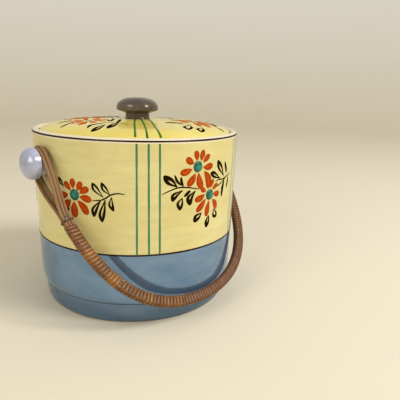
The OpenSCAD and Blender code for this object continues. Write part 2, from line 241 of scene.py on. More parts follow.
def wall_zones(tree, place):
    """Where each zone of the wall lies, as shares from 0 to 1."""
    axes = add(tree, "SeparateXYZ", {0: place}).node.outputs
    up = axes[2]
    flat = add(tree, "CombineXYZ", {0: axes[0], 1: axes[1]})
    from_axis = add(tree, "VectorMath", {0: flat}, 1, operation="LENGTH")
    # the inside lies within a cone that passes between the two faces of the wall
    cone = add(tree, "Math", {0: up, 1: -0.045, 2: from_axis}, operation="MULTIPLY_ADD")
    outside = add(tree, "Math", {0: cone, 1: 71.0 * MM}, operation="GREATER_THAN")
    inside = add(tree, "Math", {0: 1.0, 1: outside}, operation="SUBTRACT")
    # a brush leaves the edge between two glazes half a millimetre ragged
    ragged = add(tree, "TexNoise", {"Vector": place, "Scale": PER_MM / 2.5, "Detail": 3.0})
    ragged = add(tree, "Math", {0: ragged, 1: 0.5 * MM, 2: up}, operation="MULTIPLY_ADD")
    band = add(tree, "MapRange", {0: ragged, 1: (BAND_Z + 0.5) * MM, 2: (BAND_Z - 0.1) * MM})
    cream = add(tree, "MapRange", {0: ragged, 1: 125.8 * MM, 2: 126.1 * MM})
    # the turned groove gets a dark line, partly pooled glaze and partly painted shade, and the
    # foot's lustre is painted darker, a painted dark reflection
    off_groove = add(tree, "Math", {0: up, 1: GROOVE_Z * MM}, operation="SUBTRACT")
    off_groove = add(tree, "Math", {0: off_groove}, operation="ABSOLUTE")
    pool_and_shade = add(tree, "MapRange", {0: off_groove, 1: 0.9 * MM, 2: 0.35 * MM, 4: 0.8})
    foot = add(tree, "MapRange", {0: up, 1: 15.5 * MM, 2: 13.5 * MM, 4: 0.45})
    band, pool_and_shade, foot = (add(tree, "Math", {0: zone, 1: outside}, operation="MULTIPLY")
                        for zone in (band, pool_and_shade, foot))
    cream = add(tree, "Math", {0: cream, 1: inside}, operation="MAXIMUM")
    bare = add(tree, "MapRange", {0: up, 1: 0.5 * MM, 2: 0.25 * MM})
    return band, cream, pool_and_shade, foot, bare


def jar_glaze():
    """Earthenware glaze, glassy and slightly uneven, with lustre below: it mirrors lamps softly."""
    finish, tree, shader, place = new_finish("yellow_glaze_with_blue_lustre")
    band, cream, pool_and_shade, foot, bare = wall_zones(tree, place)
    cloud = patches(tree, place, 40, (0.35, 0.65))
    way_round = add(tree, "Mapping", {"Vector": place, "Scale": (1.0, 1.0, 7.0)})
    brushed = patches(tree, way_round, 28, (0.35, 0.7), (0.0, 0.55), 5.0, 0.6)
    fleck = patches(tree, place, FLECK_MM, (0.68, 0.76), (0.0, 0.25), 1.0)
    colour = add(tree, "Mix", {0: cloud, 6: "#D9CA82", 7: "#E2D696"}, 2, data_type="RGBA")
    # the groove's dark grey is pooled glaze and painted shade, and the foot's blue-grey is a
    # painted dark reflection
    layers = ((brushed, "#CCBF80"), (fleck, "#BFA55E"), (cream, "#E9DCC0"),
              (band, lustre_colour(tree, place)), (pool_and_shade, "#343A40"), (foot, "#4B5865"),
              (bare, "#C9B48C"))
    for share, over in layers:
        colour = add(tree, "Mix", {0: share, 6: colour, 7: over}, 2, data_type="RGBA")
    # the glaze is worn duller in places, the lustre is smoother, and bare clay is rough
    worn = patches(tree, place, 14, (0.3, 0.7), (0.1, 0.18), 4.0)
    worn = add(tree, "Math", {0: band, 1: -0.07, 2: worn}, operation="MULTIPLY_ADD")
    worn = add(tree, "Math", {0: bare, 1: 0.6, 2: worn}, operation="MULTIPLY_ADD")
    metal = add(tree, "Math", {0: band, 1: 0.6}, operation="MULTIPLY")
    plug(shader, {"Base Color": colour, "Metallic": metal, "Roughness": worn, "IOR": GLAZE_IOR,
                  "Normal": glaze_skin(tree, place, 0.04)})
    return finish


def dress(node, finish):
    """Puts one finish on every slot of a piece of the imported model."""
    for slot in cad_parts[node].material_slots:
        slot.material = finish


dress("jar_body", jar_glaze())
print("glazed the jar")

# %% [markdown]
# The lid has the same glaze, laid thicker, and a cream underside. The ears' lustre is thin and
# pearly over a white glaze. The knob is given a dark taupe: painted shade and a painted brown
# reflection on a lustre like the ears'. A lustre could be a plain metal, but its film is so thin
# that the glaze under it shows through, so it is mostly glaze.

# %% The lid's, ears' and knob's glazes


def lid_glaze():
    """The yellow glaze laid thicker, so that it is a stronger yellow."""
    finish, tree, shader, place = new_finish("lid_yellow_glaze")
    cloud = patches(tree, place, 30, (0.35, 0.65))
    fleck = patches(tree, place, FLECK_MM, (0.68, 0.76), (0.0, 0.25), 1.0)
    # the underside is where the faces look down
    facing = add(tree, "SeparateXYZ", {0: add(tree, "NewGeometry", out="Normal")}, 2)
    under = add(tree, "MapRange", {0: facing, 1: 0.05, 2: -0.05})
    colour = add(tree, "Mix", {0: cloud, 6: "#E2CB5C", 7: "#EBD873"}, 2, data_type="RGBA")
    for share, over in ((fleck, "#CFA84A"), (under, "#EFDFC0")):
        colour = add(tree, "Mix", {0: share, 6: colour, 7: over}, 2, data_type="RGBA")
    worn = patches(tree, place, 14, (0.3, 0.7), (0.12, 0.22), 4.0)
    plug(shader, {"Base Color": colour, "Roughness": worn, "IOR": GLAZE_IOR,
                  "Normal": glaze_skin(tree, place, 0.06)})
    return finish


def plain_lustre(name, light, dark, warm, metal, rough):
    """A lustre over a small piece: it gathers darker in patches and warmer in streaks."""
    finish, tree, shader, place = new_finish(name)
    cloud = patches(tree, place, 12, (0.35, 0.65))
    streak = patches(tree, place, 4, (0.5, 0.75), (0.0, 0.6), 4.0, 0.6)
    colour = add(tree, "Mix", {0: cloud, 6: dark, 7: light}, 2, data_type="RGBA")
    colour = add(tree, "Mix", {0: streak, 6: colour, 7: warm}, 2, data_type="RGBA")
    worn = patches(tree, place, 5, (0.3, 0.7), (rough, rough + 0.08), 4.0)
    plug(shader, {"Base Color": colour, "Metallic": metal, "Roughness": worn, "IOR": GLAZE_IOR,
                  "Normal": glaze_skin(tree, place, 0.04)})
    return finish


dress("lid", lid_glaze())
pearl = plain_lustre("pearl_lustre", "#BBBED0", "#A3AAC4", "#C4B8BA", 0.2, 0.11)
dress("ear_left", pearl)
dress("ear_right", pearl)
# the knob's dark taupe is painted shade and a painted brown reflection on a lustre like the ears'
dress("lid_knob", plain_lustre("knob_lustre_painted_shade_and_reflection", "#6C6052", "#554A41", "#66563F", 0.3, 0.12))
print("glazes:", ", ".join(m.name for m in bpy.data.materials if m.users))

# %% [markdown]
# The lines, stripes, flowers and leaves are enamel: ground glass in oil, laid on with a brush
# and fired. Thin paint lets the yellow through, and pooled paint goes dark, as each stroke does
# towards its edge. That could be noise alone, but the edge is known, so it is stored on each
# point of a stroke, 0 in its middle and 1 at its edge, and the material reads it.

# %% Enamels


def enamel(name, thin, thick, rough, edge=0.35, ior=1.5, shine=0.5):
    """Fired enamel. edge says how much darker a stroke's edge is, and shine how glassy it is."""
    finish, tree, shader, place = new_finish(name)
    brushed = add(tree, "TexNoise",
                  {"Vector": place, "Scale": PER_MM / 2.2, "Detail": 3.0, "Roughness": 0.6})
    brushed = add(tree, "Math", {0: brushed, 1: 0.9}, operation="MULTIPLY")
    rim = add(tree, "Attribute", out="Fac", attribute_name="edge")
    pooled = add(tree, "Math", {0: rim, 1: edge, 2: brushed}, operation="MULTIPLY_ADD")
    pooled = add(tree, "MapRange", {0: pooled, 1: 0.3, 2: 0.8})
    colour = add(tree, "Mix", {0: pooled, 6: thin, 7: thick}, 2, data_type="RGBA")
    grain = add(tree, "TexNoise", {"Vector": place, "Scale": PER_MM / 0.8, "Detail": 3.0})
    plug(shader, {"Base Color": colour, "Roughness": rough, "IOR": ior,
                  "Specular IOR Level": shine,
                  "Normal": add(tree, "Bump", {"Height": grain, "Distance": 0.03 * MM})})
    return finish


# Orange and black hold so much pigment that little glass is left to shine. The lid's orange is
# fuller and quite matt, so it keeps its colour where it is seen at a flat angle.
ORANGE = enamel("orange_enamel", "#CB5205", "#9A3403", 0.4, shine=0.05)
LID_ORANGE = enamel("lid_orange_enamel", "#D26818", "#A84A0A", 0.4, shine=0.0)
BLACK = enamel("brown_black_enamel", "#2B1E08", "#180E04", 0.5, ior=1.4, shine=0.0)
BROWN = enamel("dark_brown_enamel", "#38201A", "#1C0E0A", 0.4, ior=1.4, shine=0.2)
GREEN = enamel("green_enamel", "#3C8A62", "#2A6E52", 0.3)
LEAF_GREEN = enamel("lid_green_enamel", "#4A8420", "#1E5F16", 0.4, shine=0.15)
# The teal is laid on in thick beads, which are smooth and catch a lamp
TEAL = enamel("teal_enamel", "#23907A", "#0F5A4C", 0.12, 0.8)
ENAMELS = (ORANGE, LID_ORANGE, BLACK, BROWN, GREEN, LEAF_GREEN, TEAL)
print("enamels:", ", ".join(m.name for m in ENAMELS))

# %% [markdown]
# A brush stroke could be drawn inside the glaze's material. A real one has a body of its own
# that stands proud and catches the light, so each stroke here is a thin domed mesh that follows
# the clay under it. It is a grid: rows along the stroke, and ribs across it.

# %% Brush strokes


def make_piece(name, points, faces, finish, body, values):
    """A mesh from millimetre points, smooth shaded, riding on a body. values are per point."""
    mesh = bpy.data.meshes.new(name)
    mesh.from_pydata([tuple(c * MM for c in p) for p in points], [], faces)
    mesh.polygons.foreach_set("use_smooth", [True] * len(faces))
    for key, numbers in values.items():
        mesh.attributes.new(key, "FLOAT", "POINT").data.foreach_set("value", numbers)
    mesh.materials.append(finish)
    mesh.update()
    piece = bpy.data.objects.new(name, mesh)
    bpy.context.scene.collection.objects.link(piece)
    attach(piece, body)
    return piece


def grid_faces(rows, columns, start=0, closed=False):
    """Quads over a grid of points. closed joins the last row to the first."""
    faces = []
    for i in range(rows if closed else rows - 1):
        for j in range(columns - 1):
            a, b = start + i * columns + j, start + (i + 1) % rows * columns + j
            faces.append((a, b, b + 1, a + 1))
    return faces


def curve_through(points, steps):
    """A smooth line through given points, as Catmull-Rom pieces."""
    pts = [Vector(p) for p in points]
    pts = [2 * pts[0] - pts[1]] + pts + [2 * pts[-1] - pts[-2]]
    line = []
    for i in range(1, len(pts) - 2):
        a, b, c, d = pts[i - 1:i + 3]
        for k in range(steps):
            t = k / steps
            line.append(0.5 * (2 * b + (c - a) * t + (2 * a - 5 * b + 4 * c - d) * t * t
                               + (3 * b - a - 3 * c + d) * t ** 3))
    return line + [pts[-2]]


def facing_out(surface, faces):
    """A mirrored surface turns its faces over, so they are turned back. It is tested by three
    steps from one place, which lies on the wall and on the lid alike."""
    here = Vector(surface(5, 60, 0))
    across, up, out = (Vector(surface(*p)) - here for p in ((6, 60, 0), (5, 61, 0), (5, 60, 1)))
    return faces if across.cross(up).dot(out) > 0 else [f[::-1] for f in faces]


# How high the strokes stand at their middle. Their edges sink into the glaze, so no gap shows,
# and a bead's sinks twice as far.
PETAL_LIFT, LEAF_LIFT, LINE_LIFT = 0.22, 0.14, 0.12
SUNK = 0.015


class Paint:
    """Collects the brush strokes of one colour on one surface, and makes them one mesh."""

    def __init__(self, surface):
        self.surface = surface
        self.points, self.faces, self.edge = [], [], []

    def stroke(self, line, width, lift, ribs=5):
        """A stroke along a flat line. width is a function of the share of the way, 0 to 1."""
        start = len(self.points)
        for i, p in enumerate(line):
            ahead, behind = line[min(i + 1, len(line) - 1)], line[max(i - 1, 0)]
            way = (ahead - behind).normalized()
            side = Vector((-way.y, way.x))
            half = width(i / (len(line) - 1)) / 2
            for j in range(ribs):
                s = 2 * j / (ribs - 1) - 1
                q = p + side * s * half
                # a stroke less than a millimetre wide is lower too
                dome = (1 - s * s) * min(1, half / 0.5) * lift - SUNK
                self.points.append(self.surface(q.x, q.y, dome))
                self.edge.append(max(abs(s), abs(2 * i / (len(line) - 1) - 1) ** 5))
        self.faces += grid_faces(len(line), ribs, start)

    def make(self, name, finish, body, slot):
        faces = facing_out(self.surface, self.faces)
        return make_piece(name, self.points, faces, finish, body, {"edge": self.edge})


print("petals stand", PETAL_LIFT, "mm high, leaves", LEAF_LIFT, "and lines", LINE_LIFT)

# %% [markdown]
# The painter made each petal with one press of a loaded brush, each leaf with two curved
# strokes, and each flower's middle with a drop that kept its height in the kiln. The forms
# could be copied from one master, but every petal has its own root, tip, width and bend here,
# because no two of a painter's petals are alike.

# %% Petals, leaves and beads


# A petal is fullest at this share of its length, and nowhere thinner than this share
FULLEST, THINNEST = 0.6, 0.04


def petal_width(wide):
    """A loaded brush set down at the root and pressed: pointed root, full round end."""
    def width(t):
        if t < FULLEST:
            share = math.sin(math.pi / 2 * t / FULLEST) ** 0.8
        else:
            share = math.sqrt(max(0, 1 - ((t - FULLEST) / (1 - FULLEST)) ** 2))
        return 1.14 * wide * max(THINNEST, share)
    return width


def line_width(wide, tail):
    """A drawn line that thins at both ends, to the share tail."""
    return lambda t: wide * (tail + (1 - tail) * math.sin(math.pi * min(1, max(0, t))) ** 0.5)


def leaf_width(wide):
    """One side of a leaf: thin at the stem, fullest shortly before the tip."""
    def width(t):
        fullness = 0.4 + 0.75 * math.sin(math.pi / 2 * min(1, t / 0.75)) ** 2
        return wide * fullness * (1 - t ** 10 * 0.8)
    return width


def daisy(orange, middle, petals):
    """Petals are (root x, root y, tip x, tip y, width, bend), measured from the middle."""
    for root_x, root_y, tip_x, tip_y, wide, bend in petals:
        root, tip = Vector((root_x, root_y)), Vector((tip_x, tip_y))
        sway = Vector((root_y - tip_y, tip_x - root_x)) * bend
        line = curve_through([middle + root, middle + (root + tip) / 2 + sway, middle + tip], 11)
        orange.stroke(line, petal_width(wide), PETAL_LIFT, 7)


def leaf(black, base, tip, left, right, heavy):
    """A leaf drawn as two strokes from its base to its tip, bulging to left and right."""
    for bulge, wide in ((left, heavy), (right, heavy * 0.92)):
        black.stroke(curve_through([base, bulge, tip], 8), leaf_width(wide), LEAF_LIFT)


def blob_mesh(surface, middle, radius, height, rings=7, around=24):
    """A round bead of enamel, higher than a stroke."""
    points, faces, edge = [surface(middle[0], middle[1], height)], [], [0.0]
    for i in range(1, rings + 1):
        q = i / rings
        for j in range(around):
            a = 2 * math.pi * j / around
            rise = height * math.sqrt(max(0, 1 - q * q)) - 2 * SUNK
            points.append(surface(middle[0] + radius * q * math.cos(a),
                                  middle[1] + radius * q * math.sin(a), rise))
            edge.append(q ** 2)
    for j in range(around):
        k = (j + 1) % around
        faces.append((0, 1 + j, 1 + k))
        for i in range(rings - 1):
            a, b = 1 + i * around, 1 + (i + 1) * around
            faces.append((a + j, b + j, b + k, a + k))
    return points, facing_out(surface, faces), edge


STEM_W = 1.05


def paint_spray(body, name, surface, daisies, stems, leaves, dabs, bead):
    """One spray: petals, black stems, leaves and dabs, and a raised teal bead in each daisy."""
    orange, black = Paint(surface), Paint(surface)
    for middle, petals in daisies:
        daisy(orange, Vector(middle), petals)
    for stem in stems:
        black.stroke(curve_through(stem, 6), line_width(STEM_W, 0.35), LINE_LIFT)
    for form in leaves:
        leaf(black, *form)
    for stops, wide in dabs:
        black.stroke(curve_through(stops, 8), line_width(wide, 0.1), LEAF_LIFT)
    slot, petal_paint = ("jar_glaze", ORANGE) if body == "jar" else ("lid_glaze", LID_ORANGE)
    if daisies:
        orange.make(name + "_petals", petal_paint, body, slot)
    black.make(name + "_leaves", BLACK, body, slot)
    for i, (middle, _) in enumerate(daisies):
        points, faces, edge = blob_mesh(surface, middle, *bead)
        make_piece(f"{name}_bead_{i}", points, faces, TEAL, body, {"edge": edge})


print("a petal 4 mm wide is", round(petal_width(4.0)(FULLEST), 1), "mm across at its fullest")

# %% [markdown]
# The front holds a spray of two daisies with a leafy stem on each side. Its places are
# [across, up] in millimetres on the clay. They could be set out by eye, but were measured, so
# that the spray leans and crowds as the painter's does.

# %% The spray with two daisies
TWIN_UPPER = (-9.2, 109.8)
TWIN_UPPER_PETALS = [
    (-0.9, 3.9, -2.4, 10.8, 3.7, -0.06), (2.5, 3.6, 4.6, 11.0, 3.9, 0.02),
    (4.5, 2.4, 10.3, 7.4, 3.6, 0.02), (4.6, -0.9, 14.0, -0.1, 4.3, -0.05),
    (5.7, -3.4, 10.4, -16.2, 5.2, 0.14), (0.8, -4.2, 4.6, -15.8, 4.8, -0.08),
    (-1.7, -4.3, -7.9, -12.4, 4.6, 0.05), (-4.6, -1.2, -13.7, -3.4, 4.2, 0.06),
    (-3.2, 2.3, -9.4, 6.3, 4.1, 0.05)]
TWIN_LOWER = (2.9, 89.1)
TWIN_LOWER_PETALS = [
    (0.6, 4.7, 3.4, 10.6, 3.1, 0.02), (2.6, 3.2, 8.6, 6.6, 2.9, 0.02),
    (4.0, 0.2, 11.2, -0.7, 4.0, -0.05), (3.2, -3.9, 7.9, -11.8, 4.1, 0.1),
    (-0.3, -4.1, -2.4, -15.6, 4.2, -0.04), (-4.0, -2.3, -12.0, -10.6, 4.3, 0.04),
    (-4.8, 0.9, -13.8, -2.1, 4.2, 0.08), (-3.7, 3.0, -8.6, 5.4, 3.1, 0.05)]
TWIN_STEMS = [
    [(-7.3, 94.3), (-13.5, 95.8), (-19.5, 96.8), (-24.5, 96.8), (-29.7, 95.3), (-35.4, 93.0)],
    [(8.7, 97.3), (12.9, 98.3), (18.6, 97.9), (24.2, 99.0), (31.3, 100.6)],
    [(7.1, 93.1), (12.6, 94.3), (19.7, 96.8), (23.0, 98.6)]]
# A leaf is its base, its tip, the bulges of its left and right strokes, and their width
TWIN_LEAVES = [
    ((-24.8, 97.5), (-34.1, 105.4), (-31.2, 100.5), (-28.3, 102.1), 2.5),
    ((-20.7, 94.8), (-28.0, 87.8), (-27.4, 92.4), (-24.9, 91.4), 2.0),
    ((-20.8, 89.7), (-22.4, 81.4), (-24.0, 86.3), (-20.8, 85.4), 2.0),
    ((-10.7, 93.4), (-14.6, 83.9), (-16.5, 89.3), (-13.4, 88.8), 2.5),
    ((19.2, 100.3), (10.2, 112.3), (11.9, 106.8), (15.6, 107.4), 2.3),
    ((13.9, 99.2), (2.8, 104.2), (7.3, 103.8), (6.8, 101.2), 2.1),
    ((-4.5, 77.1), (-10.8, 71.5), (-9.4, 75.7), (-6.6, 73.9), 2.4),
    ((3.2, 74.0), (0.8, 65.6), (0.4, 70.4), (3.0, 69.8), 2.3),
    ((8.4, 77.8), (11.4, 71.0), (7.9, 73.4), (11.4, 74.4), 2.1)]
# A dab is the stops of one stroke and its width
TWIN_DABS = [
    ([(-22.0, 98.3), (-24.9, 101.4), (-26.7, 105.5)], 1.9),
    ([(-20.4, 97.4), (-21.6, 100.4), (-22.2, 104.0)], 2.1),
    ([(-14.7, 94.2), (-17.0, 92.4), (-19.5, 90.4)], 2.5),
    ([(24.0, 101.5), (22.4, 105.6), (20.1, 110.3)], 3.0),
    ([(26.8, 98.6), (26.6, 94.4), (25.0, 90.0)], 2.5),
    ([(20.6, 96.6), (18.5, 91.0), (17.8, 84.9)], 3.4)]
print(len(TWIN_UPPER_PETALS) + len(TWIN_LOWER_PETALS), "petals,", len(TWIN_LEAVES), "leaves")

# %% [markdown]
# A spray with one daisy stands beside each ear, and three green stripes run between the
# sprays, from under the rim to the band. A stripe could be a box, but it is one more stroke,
# a little uneven, as a brush drawn down a wall is.

# %% The spray with one daisy, and the stripes
SINGLE = (-93.6, 90.6)
SINGLE_PETALS = [
    (-0.9, 3.9, -1.1, 10.9, 4.0, 0.02), (2.3, 2.9, 5.9, 9.2, 3.8, 0.03),
    (4.0, 1.4, 11.0, 5.4, 4.0, 0.04), (3.9, -0.9, 12.8, -2.6, 4.3, 0.03),
    (2.3, -3.4, 9.8, -12.4, 4.8, 0.06), (-0.6, -4.5, -0.4, -15.5, 5.3, 0.0),
    (-3.0, -3.7, -10.3, -11.5, 4.8, -0.05), (-5.2, -0.4, -13.4, -1.9, 4.3, 0.02),
    (-3.0, 2.6, -8.3, 7.7, 3.8, -0.03)]
SINGLE_STEM = [
    (-80.6, 88.2), (-74.6, 88.9), (-70.8, 90.7), (-67.5, 92.9), (-63.2, 93.9), (-58.8, 93.4)]
SINGLE_LEAVES = [
    ((-72.8, 90.9), (-80.0, 100.0), (-79.1, 95.3), (-76.6, 96.8), 1.5),
    ((-68.4, 92.9), (-73.8, 100.7), (-72.9, 95.9), (-70.6, 96.9), 1.45),
    ((-74.6, 88.5), (-79.5, 77.2), (-80.1, 82.9), (-77.1, 83.5), 1.85),
    ((-71.5, 89.2), (-73.8, 74.2), (-75.3, 79.9), (-72.2, 81.6), 1.95),
    ((-67.3, 91.4), (-66.0, 82.0), (-68.9, 86.2), (-66.7, 86.4), 1.5),
    ((-102.4, 95.2), (-108.0, 100.8), (-106.4, 97.6), (-104.6, 98.6), 1.7),
    ((-98.4, 81.2), (-103.7, 74.4), (-102.4, 78.4), (-100.2, 77.6), 1.8)]
SINGLE_DABS = [([(-105.0, 91.0), (-107.0, 91.8), (-109.2, 92.0)], 1.2)]
# Each stripe's arc from the front at its top and at its foot
STRIPES = ((-51.3, -51.3), (-43.9, -43.3), (-36.8, -36.0))
STRIPE_TOP = 125.7
STRIPE_W = 1.35
STRIPE_STEPS = 40
print(len(SINGLE_PETALS), "petals,", len(SINGLE_LEAVES), "leaves,", len(STRIPES), "stripes")

# %% [markdown]
# Now the wall is painted. The other half of the jar repeats the front, with its side sprays
# and stripes a little farther from the ears. Copies could be linked objects turned about the
# axis, but a mirrored stroke would face inwards, so each is made on its own turned surface.

# %% Paint on the wall
# A bead's radius and height
WALL_BEAD = (3.8, 1.3)
# How many degrees the side sprays and the stripes are turned away from the ears
APART = {"front": (0, 0), "back": (11.3, 1.9)}


def wall_placed(shift_deg, mirror=1):
    """The wall as a surface to paint on, turned by shift_deg, or mirrored."""
    shift = math.radians(shift_deg) * PAINT_R
    return lambda across, up, lift: on_wall(mirror * across + shift, up, lift)


def stripe_width(t):
    return STRIPE_W * (1 + 0.08 * math.sin(17 * t))


for side, shift in (("front", 0), ("back", 180)):
    paint_spray("jar", f"twin_{side}", wall_placed(shift),
                [(TWIN_UPPER, TWIN_UPPER_PETALS), (TWIN_LOWER, TWIN_LOWER_PETALS)],
                TWIN_STEMS, TWIN_LEAVES, TWIN_DABS, WALL_BEAD)
    for hand, mirror in (("a", 1), ("b", -1)):
        spray_turn, stripe_turn = (shift + mirror * apart for apart in APART[side])
        # the stem behind is shorter, because it stands nearer to the stripes
        stem = SINGLE_STEM if side == "front" else SINGLE_STEM[:-1]
        paint_spray("jar", f"single_{side}_{hand}", wall_placed(spray_turn, mirror),
                    [(SINGLE, SINGLE_PETALS)], [stem], SINGLE_LEAVES, SINGLE_DABS, WALL_BEAD)
        green = Paint(wall_placed(stripe_turn, mirror))
        for top, foot in STRIPES:
            shares = [i / STRIPE_STEPS for i in range(STRIPE_STEPS + 1)]
            line = [Vector((top + (foot - top) * t, STRIPE_TOP + (BAND_Z - STRIPE_TOP) * t))
                    for t in shares]
            green.stroke(line, stripe_width, LINE_LIFT)
        green.make(f"stripes_{side}_{hand}", GREEN, "jar", "jar_glaze")
print("painted the wall")

# %% [markdown]
# Two black lines ring the jar: one along the rim and one where the yellow meets the lustre. A
# ring could be a torus, but these are drawn on a turning wheel: flat and even, with only a slow
# swell where the brush was fuller. They follow the wall and the round of the lip.

# %% Lines round the jar


def ring_line(name, up, wide, seed, around=360, ribs=7):
    """A line all round the wall at the height up."""
    points, edge = [], []
    for i in range(around):
        a = 2 * math.pi * i / around
        swell = 1 + 0.07 * math.sin(3 * a + seed) + 0.05 * math.sin(11 * a + 2 * seed)
        for j in range(ribs):
            s = 2 * j / (ribs - 1) - 1
            z = up + s * wide * swell / 2
            r = wall_r(z) + LEAF_LIFT * (1 - s * s) - 0.02
            points.append((r * math.sin(a), -r * math.cos(a), z))
            edge.append(abs(s))
    faces = grid_faces(around, ribs, 0, True)
    return make_piece(name, points, faces, BROWN, "jar", {"edge": edge})


ring_line("rim_line", RIM_LINE_Z, 1.2, 1.0)
ring_line("band_line", BAND_Z, 1.25, 2.0)
print("two lines")

# %% [markdown]
# Three stripes run from the lid's knob to its edge in front, in line with the wall's, and three
# behind. A spray fills each side between them. They can't be measured straight from a picture
# taken from so low, so its rays were cast onto the lid. The places are [x, y] as on a plan.

# %% The lid's sprays and stripes
LID_LEFT = (-39.0, 7.0)
LID_LEFT_PETALS = [
    (-3.4, -2.4, -16.2, -13.6, 4.1, 0.04), (-3.9, -0.6, -15.6, -2.4, 3.7, 0.04),
    (-1.4, -3.8, -3.2, -13.4, 4.2, 0.04), (2.0, -3.6, 7.4, -12.0, 3.7, 0.04),
    (3.9, -1.0, 14.4, -3.0, 3.7, 0.04), (3.8, 1.6, 13.6, 6.4, 3.7, 0.04),
    (1.6, 3.9, 5.6, 14.2, 3.6, 0.04), (-1.2, 4.0, -3.8, 14.0, 3.6, 0.04),
    (-3.4, 2.2, -12.4, 8.8, 3.7, 0.04)]
LID_LEFT_LEAVES = [
    ((-42.6, -19.6), (-59.4, -29.0), (-51.2, -23.6), (-52.6, -28.0), 2.5),
    ((-30.6, -17.6), (-49.2, -32.0), (-39.6, -22.6), (-40.2, -26.8), 2.7)]
LID_LEFT_DABS = [
    ([(-65.0, 0.4), (-60.8, 2.4), (-50.2, 9.0)], 2.3),
    ([(-58.0, 15.6), (-51.0, 20.6), (-43.0, 23.0)], 2.2),
    ([(-57.0, -20.6), (-50.2, -14.0), (-44.0, -12.6), (-36.0, -12.0)], 3.1),
    ([(-25.4, 1.9), (-28.6, -3.0), (-30.6, -8.6)], 2.3),
    ([(-19.0, 5.3), (-24.0, -1.6), (-30.6, -8.6)], 2.3),
    ([(-17.6, -2.0), (-23.8, -9.6), (-31.4, -17.4)], 2.7)]
LID_LEFT_STEM = [(-40.0, -11.4), (-35.4, -13.6), (-31.0, -17.6), (-29.4, -23.2), (-31.9, -30.9)]
LID_RIGHT = (31.0, -29.0)
LID_RIGHT_PETALS = [
    (-2.8, -3.4, -13.4, -22.4, 3.9, 0.04), (0.8, -4.2, -7.4, -26.5, 4.0, 0.04),
    (3.2, -3.2, 3.6, -19.0, 4.1, 0.04), (3.7, -1.8, 12.8, -9.0, 4.9, 0.04),
    (3.9, 1.2, 14.0, 3.6, 4.9, 0.04), (2.2, 3.5, 8.4, 12.4, 4.9, 0.04),
    (-0.8, 4.0, -3.4, 13.6, 4.6, 0.04), (-3.5, 2.1, -12.6, 7.4, 5.0, 0.04),
    (-4.1, -0.8, -14.6, -3.6, 4.9, 0.04)]
LID_RIGHT_LEAVES = [
    ((10.6, -47.2), (-3.2, -60.4), (1.4, -51.6), (5.2, -55.2), 2.4),
    ((13.8, -56.8), (4.6, -65.6), (6.6, -59.6), (10.4, -61.8), 2.4)]
LID_RIGHT_DABS = [
    ([(0.4, -31.8), (6.4, -33.8), (12.6, -38.2)], 6.0),
    ([(17.7, -17.8), (19.6, -20.4), (21.6, -24.0)], 2.7),
    ([(47.0, -34.0), (41.0, -43.0), (35.0, -51.6)], 3.4),
    ([(34.6, -53.4), (33.4, -57.6), (32.2, -61.8)], 2.4)]
LID_RIGHT_STEM = [(8.0, -38.0), (10.6, -42.6), (14.2, -46.4)]
LID_STRIPES = [
    [(-7.2, -6.0), (-25.2, -29.4), (-43.8, -54.6)], [(-3.4, -8.8), (-19.8, -33.0), (-38.2, -59.8)],
    [(3.2, -9.6), (-8.0, -27.2), (-21.0, -47.0), (-30.4, -63.8)]]
print(len(LID_LEFT_PETALS) + len(LID_RIGHT_PETALS), "petals on the lid's near half")

# %% [markdown]
# Each spray's far half is its near half mirrored. It could be painted anew, but a mirrored
# surface takes the same strokes. The right spray has one daisy only, because it lies close to
# the mirror line.

# %% Paint on the lid
LID_BEAD = (2.4, 0.3)
# The line that the sprays are mirrored in is square to the stripes
MIRROR_ANGLE = math.radians(57)
MIRROR_LINE = Vector((math.sin(MIRROR_ANGLE), -math.cos(MIRROR_ANGLE)))


def lid_mirrored(x, y, lift):
    here = Vector((x, y))
    there = 2 * here.dot(MIRROR_LINE) * MIRROR_LINE - here
    return on_lid(there.x, there.y, lift)


def lid_behind(x, y, lift):
    return on_lid(-x, -y, lift)


def lid_stripe_width(t):
    """Wider at both ends, where the brush was set down and lifted."""
    return 1.45 + 0.3 * (2 * t - 1) ** 4


for side, surface in (("near", on_lid), ("far", lid_mirrored)):
    paint_spray("lid", f"lid_left_{side}", surface, [(LID_LEFT, LID_LEFT_PETALS)],
                [LID_LEFT_STEM], LID_LEFT_LEAVES, LID_LEFT_DABS, LID_BEAD)
    one_daisy = [(LID_RIGHT, LID_RIGHT_PETALS)] if side == "near" else []
    paint_spray("lid", f"lid_right_{side}", surface, one_daisy,
                [LID_RIGHT_STEM], LID_RIGHT_LEAVES, LID_RIGHT_DABS, LID_BEAD)
for side, surface in (("front", on_lid), ("back", lid_behind)):
    green = Paint(surface)
    for stops in LID_STRIPES:
        green.stroke(curve_through(stops, 14), lid_stripe_width, LEAF_LIFT)
    green.make(f"lid_stripes_{side}", LEAF_GREEN, "lid", "lid_glaze")
print("painted the lid")

# %% [markdown]
# The handle is six runs of round cane: three loops, each down the front, round one ear, back
# behind and round the other ear. Its route could be drawn in 3-D, but it lies in one plane, so
# it is worked out in the flat, as [side, along, out of the plane], with the same curve and sizes
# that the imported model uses, and then hung at its rest angle.

# %% The handle's route
EAR_Z = 108.3
REST_ANGLE = math.radians(49.0)
CANE_R = 1.05
# From one cane to the next, from the middle to a row, and how far the middle cane rides up
CANE_PITCH = 2.25
ROW = 1.25
EAR_LIFT = 1.2
EAR_PITCH = math.sqrt(CANE_PITCH ** 2 - EAR_LIFT ** 2)
LOOP_X = RIM_R + 0.3 + CANE_R + EAR_PITCH
LOOP_R = 9.75
# Lengths from the ears' axis: the open eye, the wrapping's start and the middle of the grip
EYE = 42.0
WRAP_START = 47.0
BAIL = 121.3
# The four pulls of each side's curve: the ear, the belly, the bend, and the shifted grip
BAIL_SIDE = (LOOP_X + 1.8, 60.0)
GRIP_PULL = LOOP_X - 13.1
GRIP_SHIFT = -4.8
# Half sizes of the wrapping's outside and of the bundle of canes in it
WRAP_HALF = (3.85, 2.85)
BUNDLE_HALF = (3.4, 2.4)


